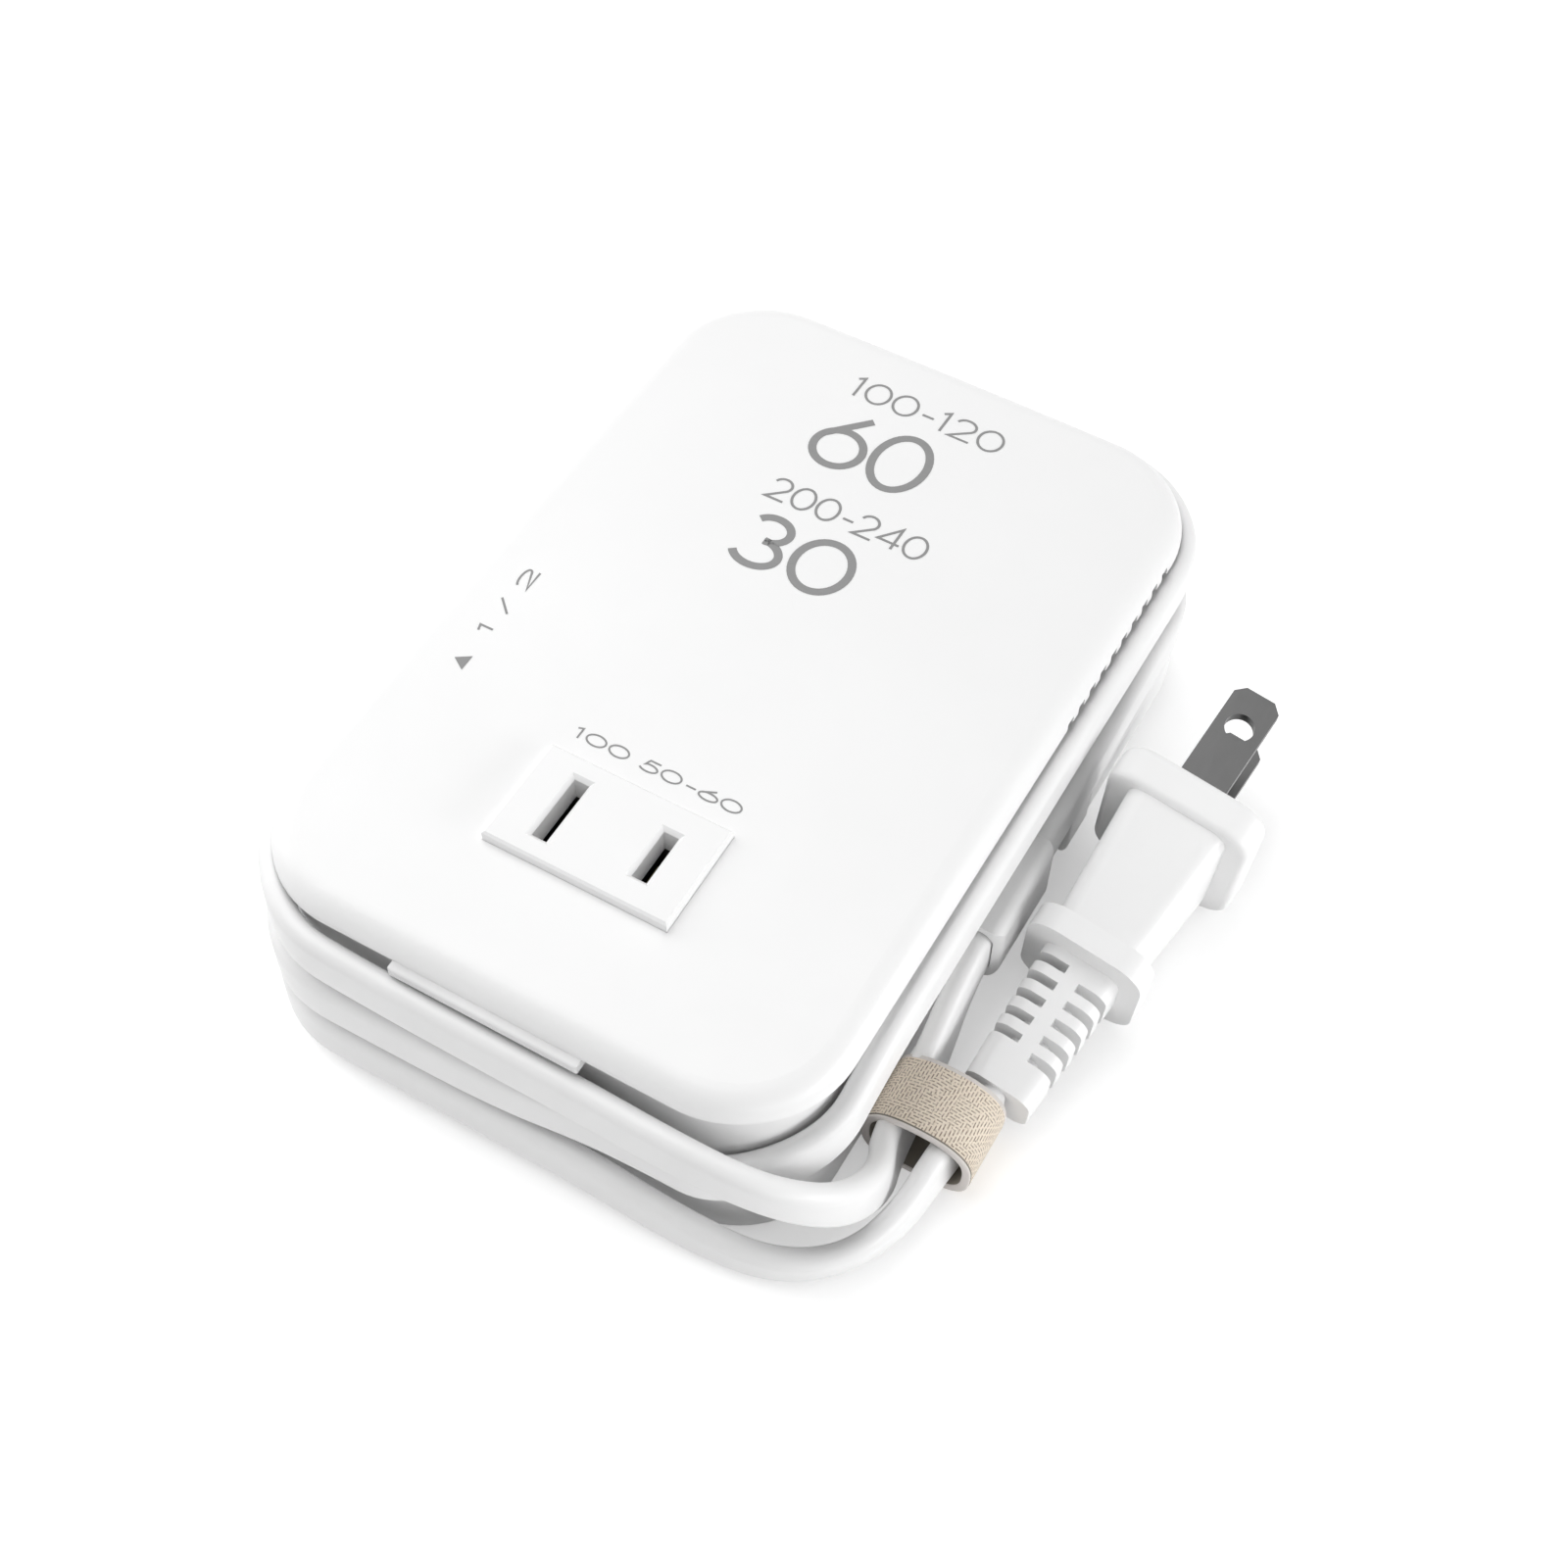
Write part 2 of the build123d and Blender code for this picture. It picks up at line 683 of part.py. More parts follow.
winding_route = [
    (drum_x + side, exit_y, low_level),
    *corner(1, 1, side, side, low_level, low_level),
    *corner(-1, 1, side, side, mid_level, mid_level),
    *corner(-1, -1, side, front, mid_level, mid_level),
    *corner(1, -1, side, front, mid_level, mid_level + corner_rise),
    (drum_x + side, -drum_y + 2 * drum_corner, top_level),
    *corner(1, 1, side, side, top_level, top_level),
    *corner(-1, 1, side, side, top_level, top_level),
    *corner(-1, -1, side, front, top_level, top_level),
    (0, -drum_y - front, top_level),
]

outer_route = [
    (clip_cord_x, clip_far, clip_level),
    (clip_cord_x, clip_far + cord_width / 2, clip_level),
    (clip_cord_x, exit_y, mid_level),
    *corner(1, 1, side + cord_gap, side, mid_level, mid_level),
    (drum_x / 3, drum_y + outer, mid_level - cord_gap),
    (-drum_x / 2, drum_y + outer, low_level + cord_gap),
    *corner(-1, 1, side, outer, low_level, low_level),
    *corner(-1, -1, side, front, low_level, low_level),
    (0, -drum_y - front, low_level),
]

# The free runs, chosen point by point: down past the corner, through the
# strap and up to the clip, and out past the corner, through the strap and
# to the plug. Each point is set from the drum's near right corner, and its
# height is a share of the way from the first level of its run to the second.


def free_run(points, start_level, end_level):
    """Route points from places beyond the drum's near right corner."""
    drop = end_level - start_level
    return [(drum_x + x, y - drum_y, start_level + share * drop) for x, y, share in points]


floor_level = cord_width / 2 + tail_rise

loop_route = [
    (0, -drum_y - front, top_level),
    *free_run(
        [
            (-24.2, -3.05, 0),
            (-11.7, -3.35, 0),
            (-1.2, -2.35, 0.075),
            (5.1, 2.65, 0.376),
            (6.6, 10.55, 0.769),
            (4.1, 17.55, 1),
            (3.6, 27.95, 1),
        ],
        top_level,
        strap_level,
    ),
    (clip_cord_x, clip_far - clip_length - clip_run, clip_level),
    (clip_cord_x, clip_far, clip_level),
]
tail_route = [
    (0, -drum_y - front, low_level),
    (drum_x / 3, -drum_y - front, low_level),
    *free_run(
        [
            (-11.2, -3.45, 0.45),
            (-0.2, -2.45, 0),
            (6.8, 2.55, 0),
            (10.0, 9.95, 0.45),
            (10.5, 17.95, 1),
            (11.3, 23.95, 1),
            (12.5, 28.95, 1),
        ],
        floor_level,
        strap_level,
    ),
]


def least_gap(first, second, apart):
    """Least clear space between two runs of the lead, on points about 1 mm apart."""
    core = cord_width - cord_thickness
    least = case_length
    for i, a in enumerate(first):
        for j, b in enumerate(second):
            if first is second and abs(i - j) < apart:
                continue
            rise = max(0, abs(a.Z - b.Z) - core)
            reach = ((a.X - b.X) ** 2 + (a.Y - b.Y) ** 2 + rise**2) ** 0.5
            least = min(least, reach - cord_thickness)
    return round(least, 2)


winding = lead("cord_winding", winding_route)
loop = lead("cord_loop", loop_route)
outer_lap = lead("cord_outer_lap", outer_route)
tail = lead("cord_tail", tail_route)
turn_apart = int(4 * cord_width)
print("least gap of cord_winding to itself", least_gap(winding, winding, turn_apart))
print("least gap of cord_outer_lap to itself", least_gap(outer_lap, outer_lap, turn_apart))
print("winding to outer lap", least_gap(winding, outer_lap, 0))
print("winding to loop", least_gap(winding[:-8], loop, 0), least_gap(winding, loop[8:], 0))
print("outer lap to loop", least_gap(outer_lap, loop[:-8], 0))
print("tail to loop", least_gap(tail, loop, 0))
print("tail to winding", least_gap(tail, winding, 0))
print("tail to outer lap", least_gap(tail[8:], outer_lap, 0))

# Strap round the two runs that meet in front of the plug

with BuildPart() as cord_strap:
    with BuildSketch(Plane.XZ.offset(-strap_near)):
        with Locations((strap_x, strap_level)):
            RectangleRounded(strap_width, strap_height, strap_corner)
            RectangleRounded(
                strap_width - 2 * strap_thickness,
                strap_height - 2 * strap_thickness,
                strap_corner - strap_thickness,
                mode=Mode.SUBTRACT,
            )
    extrude(amount=-strap_length)

cord_strap.part.label = "cord_strap"
export_step(cord_strap.part, "parts/cord_strap.step")

# Plug. Its own plane stands at the blade tips and looks along the blades.

ahead = (
    sin(plug_turn) * cos(plug_tilt),
    cos(plug_turn) * cos(plug_tilt),
    sin(plug_tilt),
)
level = Vector(cos(plug_turn), -sin(plug_turn), 0)
upright = level.cross(Vector(*ahead))
lean = radians(plug_roll)
plug_plane = Plane(origin=plug_tip, x_dir=upright * sin(lean) - level * cos(lean), z_dir=ahead)
front_face = blade_reach
front_back = front_face + front_flange_length
rear_face = front_back + grip_length
rear_back = rear_face + rear_flange_length

with BuildPart() as plug_body:
    with BuildSketch(plug_plane.offset(-front_back)):
        RectangleRounded(front_flange_width, front_flange_height, flange_corner)
    extrude(amount=front_flange_length)
    fillet(plug_body.edges().filter_by(lambda e: e.length > flange_corner), flange_edge)
    with BuildSketch(plug_plane.offset(-front_back)):
        RectangleRounded(grip_width, grip_height, grip_corner)
    with BuildSketch(plug_plane.offset(-rear_face)):
        RectangleRounded(waist_width, waist_height, grip_corner)
    loft()
    with BuildSketch(plug_plane.offset(-rear_back)):
        RectangleRounded(rear_flange_width, rear_flange_height, flange_corner)
    extrude(amount=rear_flange_length)
    for height in (-blade_spacing / 2, blade_spacing / 2):
        with BuildSketch(plug_plane.offset(-front_face - blade_root)):
            with Locations((0, height)):
                Rectangle(blade_width, blade_thickness)
        extrude(amount=blade_root, mode=Mode.SUBTRACT)

plug_body.part.label = "plug_body"
export_step(plug_body.part, "parts/plug_body.step")

for name, height in (("lower", -blade_spacing / 2), ("upper", blade_spacing / 2)):
    blade_plane = Plane(
        origin=plug_plane.from_local_coords((0, height - blade_thickness / 2, 0)),
        x_dir=plug_plane.x_dir,
        z_dir=plug_plane.y_dir,
    )
    with BuildPart() as blade:
        with BuildSketch(blade_plane):
            with BuildLine():
                Polyline(
                    (-blade_width / 2, blade_reach + blade_root),
                    (-blade_width / 2, blade_tip),
                    (-blade_width / 2 + blade_tip, 0),
                    (blade_width / 2 - blade_tip, 0),
                    (blade_width / 2, blade_tip),
                    (blade_width / 2, blade_reach + blade_root),
                    close=True,
                )
            make_face()
            with Locations((0, blade_hole_inset)):
                Circle(blade_hole / 2, mode=Mode.SUBTRACT)
        extrude(amount=blade_thickness)
    blade.part.label = f"plug_blade_{name}"
    export_step(blade.part, f"parts/plug_blade_{name}.step")

with BuildPart() as plug_relief:
    with BuildSketch(plug_plane.offset(-rear_back)):
        RectangleRounded(relief_width, relief_height, relief_corner)
    with BuildSketch(plug_plane.offset(-rear_back - relief_length)):
        RectangleRounded(relief_end_width, relief_end_height, relief_corner)
    loft()
    for turn in range(relief_slots):
        for side_sign in (-1, 1):
            stagger = relief_pitch / 2 if side_sign < 0 else 0
            back = rear_back + relief_slot_first + stagger + turn * relief_pitch
            with BuildSketch(plug_plane.offset(-back - relief_slot_width)):
                with Locations((side_sign * relief_width / 2, 0)):
                    Rectangle(relief_width * 4 / 5, relief_height * 2)
            extrude(amount=relief_slot_width, mode=Mode.SUBTRACT)
    with BuildSketch(plug_plane.offset(-rear_back)):
        RectangleRounded(relief_end_width / 2, relief_end_height / 2, relief_corner / 2)
    extrude(amount=-relief_length)

plug_relief.part.label = "plug_strain_relief"
export_step(plug_relief.part, "parts/plug_strain_relief.step")

print("plug lowest", round(plug_body.part.bounding_box().min.Z, 2))
end_point = plug_plane.from_local_coords((0, 0, -rear_back - relief_length))
print("strain relief ends at", round(end_point.X, 2), round(end_point.Y, 2), round(end_point.Z, 2))
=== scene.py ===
import math

import bmesh
import bpy
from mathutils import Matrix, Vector


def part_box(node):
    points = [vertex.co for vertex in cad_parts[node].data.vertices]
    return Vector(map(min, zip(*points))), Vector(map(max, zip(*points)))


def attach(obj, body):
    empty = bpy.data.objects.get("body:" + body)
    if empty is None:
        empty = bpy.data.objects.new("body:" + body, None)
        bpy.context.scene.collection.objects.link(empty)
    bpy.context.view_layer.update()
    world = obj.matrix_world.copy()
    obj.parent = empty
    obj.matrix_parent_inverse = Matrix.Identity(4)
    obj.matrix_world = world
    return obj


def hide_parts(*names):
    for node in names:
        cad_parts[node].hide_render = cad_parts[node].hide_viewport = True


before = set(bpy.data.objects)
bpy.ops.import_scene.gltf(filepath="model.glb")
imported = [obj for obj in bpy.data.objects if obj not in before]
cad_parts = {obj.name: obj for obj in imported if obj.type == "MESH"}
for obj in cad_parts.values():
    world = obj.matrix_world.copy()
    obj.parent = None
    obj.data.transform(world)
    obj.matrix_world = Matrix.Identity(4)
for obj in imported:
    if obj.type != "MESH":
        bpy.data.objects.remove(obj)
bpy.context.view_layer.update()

# Looks of a travel voltage converter: a white case on a light grey drum, its
# flat lead wound round it, a woven strap and a plug with two blades. Metres.

MM = 0.001

# Camera, fitted to the photograph's 1600 by 1600 frame

CAMERA_PLACE = (0.08721, -0.15239, 0.24807)
CAMERA_TURN = (35.774, -1.067, 29.823)
CAMERA_LENS = 52.65
SENSOR = 36.0


def studio_camera():
    data = bpy.data.cameras.new("studio_camera")
    data.lens = CAMERA_LENS
    data.sensor_width = SENSOR
    data.clip_start = 0.01
    camera = bpy.data.objects.new("studio_camera", data)
    camera.location = CAMERA_PLACE
    camera.rotation_euler = [math.radians(angle) for angle in CAMERA_TURN]
    bpy.context.collection.objects.link(camera)
    bpy.context.scene.camera = camera


studio_camera()

# Lead: the part's own route, fitted to the photograph where the lead rises round
# the corners, with the lean of the flat oval in degrees in the free bends and
# in the strap

LEAD_WIDTH = 7.4 * MM
LEAD_THICKNESS = 3.0 * MM

BOTTOM_LAP = [
    (0.03815, 0.0200, 0.0056, 0),
    (0.03815, 0.0355, 0.0056, 0),
    (0.03815, 0.04803, 0.0056, 0),
    (0.02928, 0.0569, 0.0056, 0),
    (0.0168, 0.0569, 0.0060, 0),
    (-0.0168, 0.0569, 0.0125, 0),
    (-0.02928, 0.0569, 0.0143, 0),
    (-0.03815, 0.04803, 0.0143, 0),
    (-0.03815, 0.0355, 0.0143, 0),
    (-0.03815, -0.0358, 0.0143, 0),
    (-0.03815, -0.04825, 0.0143, 0),
    (-0.0295, -0.0580, 0.0143, 0),
    (-0.0170, -0.0580, 0.0143, 0),
]
TOP_LAP = [
    (0.0000, -0.0578, 0.0143, 0),
    (0.0115, -0.0568, 0.0153, 0),
    (0.0200, -0.0566, 0.0157, 0),
    (0.0288, -0.0568, 0.0163, 0),
    (0.0381, -0.0480, 0.0200, 0),
    (0.03815, -0.0380, 0.0229, 0),
    (0.03815, -0.02855, 0.0240, 0),
    (0.03815, 0.0355, 0.0243, 0),
    (0.03815, 0.04803, 0.0243, 0),
    (0.02928, 0.0569, 0.0243, 0),
    (0.0168, 0.0569, 0.0243, 0),
    (-0.0168, 0.0569, 0.0244, 0),
    (-0.02928, 0.0569, 0.0246, 0),
    (-0.03815, 0.04803, 0.02465, 0),
    (-0.03815, 0.0355, 0.02465, 0),
    (-0.03815, -0.0358, 0.02465, 0),
    (-0.03815, -0.0474, 0.02465, 0),
    (-0.0282, -0.0580, 0.0244, 0),
    (-0.0170, -0.0580, 0.0231, 0),
]
FREE_LOOP = [
    (0.0000, -0.0580, 0.0227, 0),
    (0.0120, -0.0580, 0.0227, 0),
    (0.0245, -0.0583, 0.0227, 2),
    (0.0350, -0.0573, 0.0214, 6),
    (0.0413, -0.0523, 0.0162, 9),
    (0.0428, -0.0444, 0.0094, -6),
    (0.0405, -0.0374, 0.0054, -18),
    (0.0400, -0.0270, 0.0054, -14),
    (0.03895, -0.0154, 0.0126, 0),
]
OUTER_LAP = [
    (0.03895, 0.00305, 0.0126, 0),
    (0.03895, 0.00675, 0.0126, 0),
    (0.03895, 0.0200, 0.0143, 0),
    (0.0386, 0.0355, 0.0143, 0),
    (0.0386, 0.04812, 0.0143, 0),
    (0.02937, 0.0569, 0.0143, 0),
    (0.01207, 0.0610, 0.01385, 0),
    (-0.0181, 0.0610, 0.00605, 0),
    (-0.03012, 0.0610, 0.0056, 0),
    (-0.03815, 0.04887, 0.0056, 0),
    (-0.03815, 0.0355, 0.0056, 0),
    (-0.03815, -0.0358, 0.0056, 0),
    (-0.03815, -0.04825, 0.0056, 0),
    (-0.0295, -0.0580, 0.0056, 0),
    (-0.0170, -0.0580, 0.0056, 0),
]
PLUG_TAIL = [
    (0.0000, -0.0580, 0.0056, 0),
    (0.0120, -0.0580, 0.0056, 0),
    (0.0250, -0.0584, 0.0048, 3),
    (0.0360, -0.0574, 0.0043, 10),
    (0.0430, -0.0524, 0.0043, 16),
    (0.0462, -0.0450, 0.0048, 4),
    (0.0467, -0.0370, 0.0054, -5),
    (0.0475, -0.0310, 0.0054, -5),
    (0.0487, -0.0260, 0.0054, 0),
]
LEAD_ROUTE = BOTTOM_LAP + TOP_LAP + FREE_LOOP + OUTER_LAP + PLUG_TAIL


def wound_lead():
    curve = bpy.data.curves.new("wound_lead", "CURVE")
    curve.dimensions = "3D"
    curve.twist_mode = "Z_UP"
    curve.resolution_u = 10
    curve.bevel_resolution = 6
    curve.bevel_depth = LEAD_THICKNESS / 2
    curve.extrude = (LEAD_WIDTH - LEAD_THICKNESS) / 2
    curve.use_fill_caps = True
    spline = curve.splines.new("NURBS")
    spline.points.add(len(LEAD_ROUTE) - 1)
    for point, (x, y, z, lean) in zip(spline.points, LEAD_ROUTE):
        point.co = (x, y, z, 1)
        point.tilt = math.radians(lean)
    spline.order_u = 3
    spline.use_endpoint_u = True
    lead = bpy.data.objects.new("wound_lead", curve)
    bpy.context.collection.objects.link(lead)
    return lead


lead = wound_lead()

# Shader helpers


def put(tree, kind, settings=None, **inputs):
    """Adds a node. An input is a value, or the socket that feeds it."""
    node = tree.nodes.new("ShaderNode" + kind)
    for name, value in (settings or {}).items():
        setattr(node, name, value)
    for name, value in inputs.items():
        socket = node.inputs[name.replace("_", " ")]
        if isinstance(value, bpy.types.NodeSocket):
            tree.links.new(value, socket)
        else:
            socket.default_value = value
    return node


def reckon(tree, operation, *values):
    """A Math node with its inputs in order."""
    node = tree.nodes.new("ShaderNodeMath")
    node.operation = operation
    for socket, value in zip(node.inputs, values):
        if isinstance(value, bpy.types.NodeSocket):
            tree.links.new(value, socket)
        else:
            socket.default_value = value
    return node.outputs[0]


def tint(tree, mask, low, high, mode="MIX"):
    """A colour that goes from low to high with the mask."""
    node = tree.nodes.new("ShaderNodeMix")
    node.data_type = "RGBA"
    node.blend_type = mode
    for index, value in ((0, mask), (6, low), (7, high)):
        if isinstance(value, bpy.types.NodeSocket):
            tree.links.new(value, node.inputs[index])
        else:
            node.inputs[index].default_value = value
    return node.outputs[2]


def spread(tree, value, low, high, to_low=0.0, to_high=1.0):
    """Maps a range of a value onto another, clamped."""
    node = put(tree, "MapRange", Value=value, From_Min=low, From_Max=high)
    for name, limit in (("To Min", to_low), ("To Max", to_high)):
        if isinstance(limit, bpy.types.NodeSocket):
            tree.links.new(limit, node.inputs[name])
        else:
            node.inputs[name].default_value = limit
    return node.outputs[0]


def grey(level):
    return (level, level, level, 1.0)


def effect(name, inputs, outputs):
    """An empty shader node group with named inputs and outputs."""
    group = bpy.data.node_groups.new(name, "ShaderNodeTree")
    for label, kind, value in inputs:
        socket = group.interface.new_socket(name=label, in_out="INPUT", socket_type=kind)
        socket.default_value = value
    for label, kind in outputs:
        group.interface.new_socket(name=label, in_out="OUTPUT", socket_type=kind)
    entry = group.nodes.new("NodeGroupInput")
    leave = group.nodes.new("NodeGroupOutput")
    return group, entry.outputs, leave.inputs


FLOAT = "NodeSocketFloat"
COLOUR = "NodeSocketColor"


def moulded_skin():
    """Spark-eroded mould grain with a faint drift in tone and polish."""
    group, given, made = effect(
        "moulded skin",
        [
            ("Light", COLOUR, grey(0.9)),
            ("Deep", COLOUR, grey(0.86)),
            ("Grain Scale", FLOAT, 3000.0),
            ("Polish", FLOAT, 0.35),
            ("Dull", FLOAT, 0.45),
        ],
        [("Colour", COLOUR), ("Roughness", FLOAT), ("Height", FLOAT)],
    )
    place = put(group, "TexCoord").outputs["Object"]
    drift = put(group, "TexNoise", Vector=place, Scale=38.0, Detail=3.0, Roughness=0.6)
    flow = put(
        group, "TexNoise", Vector=place, Scale=170.0, Detail=4.0, Roughness=0.65, Distortion=0.4
    )
    grain = put(
        group, "TexNoise", Vector=place, Scale=given["Grain Scale"], Detail=2.0, Roughness=0.5
    )
    cells = put(group, "TexVoronoi", Vector=place, Scale=given["Grain Scale"])
    shade = spread(group, drift.outputs[0], 0.3, 0.7)
    group.links.new(tint(group, shade, given["Deep"], given["Light"]), made["Colour"])
    polish = spread(group, flow.outputs[0], 0.3, 0.7, given["Polish"], given["Dull"])
    group.links.new(polish, made["Roughness"])
    pits = reckon(group, "MULTIPLY", cells.outputs["Distance"], 0.6)
    group.links.new(reckon(group, "ADD", grain.outputs[0], pits), made["Height"])
    return group


def handling_wear():
    """A mask of fine rubbed streaks and worn outer edges."""
    group, given, made = effect(
        "handling wear",
        [("Amount", FLOAT, 0.3), ("Streak Scale", FLOAT, 400.0)],
        [("Mask", FLOAT)],
    )
    place = put(group, "TexCoord").outputs["Object"]
    along = put(group, "Mapping", Vector=place, Rotation=(0.2, 0.1, 0.6), Scale=(1.0, 0.08, 0.4))
    streaks = put(
        group, "TexNoise", Vector=along.outputs[0], Scale=given["Streak Scale"], Detail=5.0
    )
    patches = put(group, "TexNoise", Vector=place, Scale=55.0, Detail=2.0)
    lines = spread(group, streaks.outputs[0], 0.60, 0.72)
    where = spread(group, patches.outputs[0], 0.45, 0.65)
    edge = spread(group, put(group, "NewGeometry").outputs["Pointiness"], 0.52, 0.60)
    both = reckon(group, "MAXIMUM", reckon(group, "MULTIPLY", lines, where), edge)
    group.links.new(reckon(group, "MULTIPLY", both, given["Amount"]), made["Mask"])
    return group


def drawn_metal():
    """Fine parallel lines of rolled or drawn sheet, with dark specks."""
    group, given, made = effect(
        "drawn metal",
        [
            ("Bright", COLOUR, grey(0.6)),
            ("Dark", COLOUR, grey(0.4)),
            ("Line Scale", FLOAT, 900.0),
        ],
        [("Colour", COLOUR), ("Roughness", FLOAT), ("Height", FLOAT)],
    )
    place = put(group, "TexCoord").outputs["Object"]
    along = put(group, "Mapping", Vector=place, Scale=(1.0, 0.04, 1.0))
    lines = put(group, "TexNoise", Vector=along.outputs[0], Scale=given["Line Scale"], Detail=4.0)
    cloud = put(group, "TexNoise", Vector=place, Scale=260.0, Detail=3.0)
    level = spread(group, lines.outputs[0], 0.3, 0.7)
    mixed = reckon(group, "MULTIPLY", level, spread(group, cloud.outputs[0], 0.2, 0.6))
    group.links.new(tint(group, mixed, given["Dark"], given["Bright"]), made["Colour"])
    group.links.new(spread(group, lines.outputs[0], 0.3, 0.7, 0.28, 0.42), made["Roughness"])
    group.links.new(level, made["Height"])
    return group


SKIN = moulded_skin()
WEAR = handling_wear()
METAL = drawn_metal()


def blank(name):
    """A new material with its tree and its shader."""
    material = bpy.data.materials.new(name)
    material.use_nodes = True
    tree = material.node_tree
    return material, tree, tree.nodes["Principled BSDF"]


def use(tree, group, **inputs):
    node = tree.nodes.new("ShaderNodeGroup")
    node.node_tree = group
    for name, value in inputs.items():
        node.inputs[name.replace("_", " ")].default_value = value
    return node.outputs


def raise_surface(tree, shader, height, depth):
    bump = put(tree, "Bump", Height=height, Distance=depth, Strength=1.0)
    tree.links.new(bump.outputs[0], shader.inputs["Normal"])


PLASTIC_IOR = 1.5


def moulding(name, light, deep, polish, dull, grain, depth, wear=0.15, worn=None):
    """Moulded plastic or rubber: skin, a little wear and a fine grain."""
    material, tree, shader = blank(name)
    skin = use(tree, SKIN, Light=light, Deep=deep, Grain_Scale=grain, Polish=polish, Dull=dull)
    wear_mask = use(tree, WEAR, Amount=wear)["Mask"]
    colour = tint(tree, wear_mask, skin["Colour"], worn or light)
    tree.links.new(colour, shader.inputs["Base Color"])
    rough = reckon(tree, "ADD", skin["Roughness"], reckon(tree, "MULTIPLY", wear_mask, 0.25))
    tree.links.new(rough, shader.inputs["Roughness"])
    raise_surface(tree, shader, skin["Height"], depth)
    shader.inputs["IOR"].default_value = PLASTIC_IOR
    return material


def sheet_metal(name, bright, dark, lines, depth, wear=0.3, worn=None):
    """Bare or plated metal with drawn lines and rubbed places."""
    material, tree, shader = blank(name)
    metal = use(tree, METAL, Bright=bright, Dark=dark, Line_Scale=lines)
    wear_mask = use(tree, WEAR, Amount=wear, Streak_Scale=700.0)["Mask"]
    colour = tint(tree, wear_mask, metal["Colour"], worn or bright)
    tree.links.new(colour, shader.inputs["Base Color"])
    tree.links.new(metal["Roughness"], shader.inputs["Roughness"])
    raise_surface(tree, shader, metal["Height"], depth)
    shader.inputs["Metallic"].default_value = 1.0
    return material


# Materials


def laminated_core():
    """Stacked steel laminations under varnish."""
    material, tree, shader = blank("varnished_laminations")
    place = put(tree, "TexCoord").outputs["Object"]
    layers = put(
        tree, "TexWave", {"bands_direction": "Z"}, Vector=place, Scale=300.0, Distortion=0.3
    )
    metal = use(tree, METAL, Bright=grey(0.42), Dark=grey(0.26), Line_Scale=600.0)
    colour = tint(tree, layers.outputs[0], (0.16, 0.12, 0.09, 1), metal["Colour"])
    tree.links.new(colour, shader.inputs["Base Color"])
    tree.links.new(metal["Roughness"], shader.inputs["Roughness"])
    raise_surface(tree, shader, layers.outputs[0], 0.00008)
    shader.inputs["Metallic"].default_value = 0.8
    return material


def copper_turns():
    """Layers of enamelled wire seen through varnished tape."""
    material, tree, shader = blank("enamelled_wire")
    place = put(tree, "TexCoord").outputs["Object"]
    turns = put(
        tree, "TexWave", {"bands_direction": "Z"}, Vector=place, Scale=420.0, Distortion=0.2
    )
    cloud = put(tree, "TexNoise", Vector=place, Scale=180.0, Detail=3.0)
    wire = tint(tree, cloud.outputs[0], (0.62, 0.27, 0.09, 1), (0.85, 0.45, 0.17, 1))
    colour = tint(tree, turns.outputs[0], (0.25, 0.10, 0.03, 1), wire)
    tree.links.new(colour, shader.inputs["Base Color"])
    tree.links.new(spread(tree, cloud.outputs[0], 0.3, 0.7, 0.25, 0.4), shader.inputs["Roughness"])
    raise_surface(tree, shader, turns.outputs[0], 0.0001)
    shader.inputs["Metallic"].default_value = 0.6
    return material


def printed_board():
    """Green board with lacquered tracks and bright pads."""
    material, tree, shader = blank("green_board")
    place = put(tree, "TexCoord").outputs["Object"]
    tracks = put(tree, "TexBrick", Vector=place, Scale=260.0, Mortar_Size=0.03)
    skin = use(
        tree, SKIN, Light=(0.10, 0.34, 0.16, 1), Deep=(0.07, 0.27, 0.12, 1), Grain_Scale=2500.0
    )
    colour = tint(tree, tracks.outputs["Fac"], skin["Colour"], (0.16, 0.42, 0.20, 1))
    tree.links.new(colour, shader.inputs["Base Color"])
    tree.links.new(skin["Roughness"], shader.inputs["Roughness"])
    raise_surface(tree, shader, tracks.outputs["Fac"], 0.00005)
    return material


def grey_ink():
    """Pad-printed ink, faintly uneven."""
    material, tree, shader = blank("grey_ink")
    place = put(tree, "TexCoord").outputs["Object"]
    cloud = put(tree, "TexNoise", Vector=place, Scale=1500.0, Detail=3.0)
    colour = tint(tree, cloud.outputs[0], grey(0.23), grey(0.28))
    tree.links.new(colour, shader.inputs["Base Color"])
    tree.links.new(spread(tree, cloud.outputs[0], 0.3, 0.7, 0.45, 0.6), shader.inputs["Roughness"])
    raise_surface(tree, shader, cloud.outputs[0], 0.000004)
    return material


STITCH_ROW = 0.42 * MM
STITCH_LENGTH = 2.3 * STITCH_ROW
ROW_STAGGER = 0.37
WAVER = 0.6 * MM
STITCH_BROWN = (0.17, 0.10, 0.06, 1)


def near_middle(tree, value, full, none):
    """1 in the middle of each repeat of a value, falling to 0 towards its ends."""
    off = reckon(tree, "ABSOLUTE", reckon(tree, "SUBTRACT", value, 0.5))
    return spread(tree, off, full, none, 1.0, 0.0)


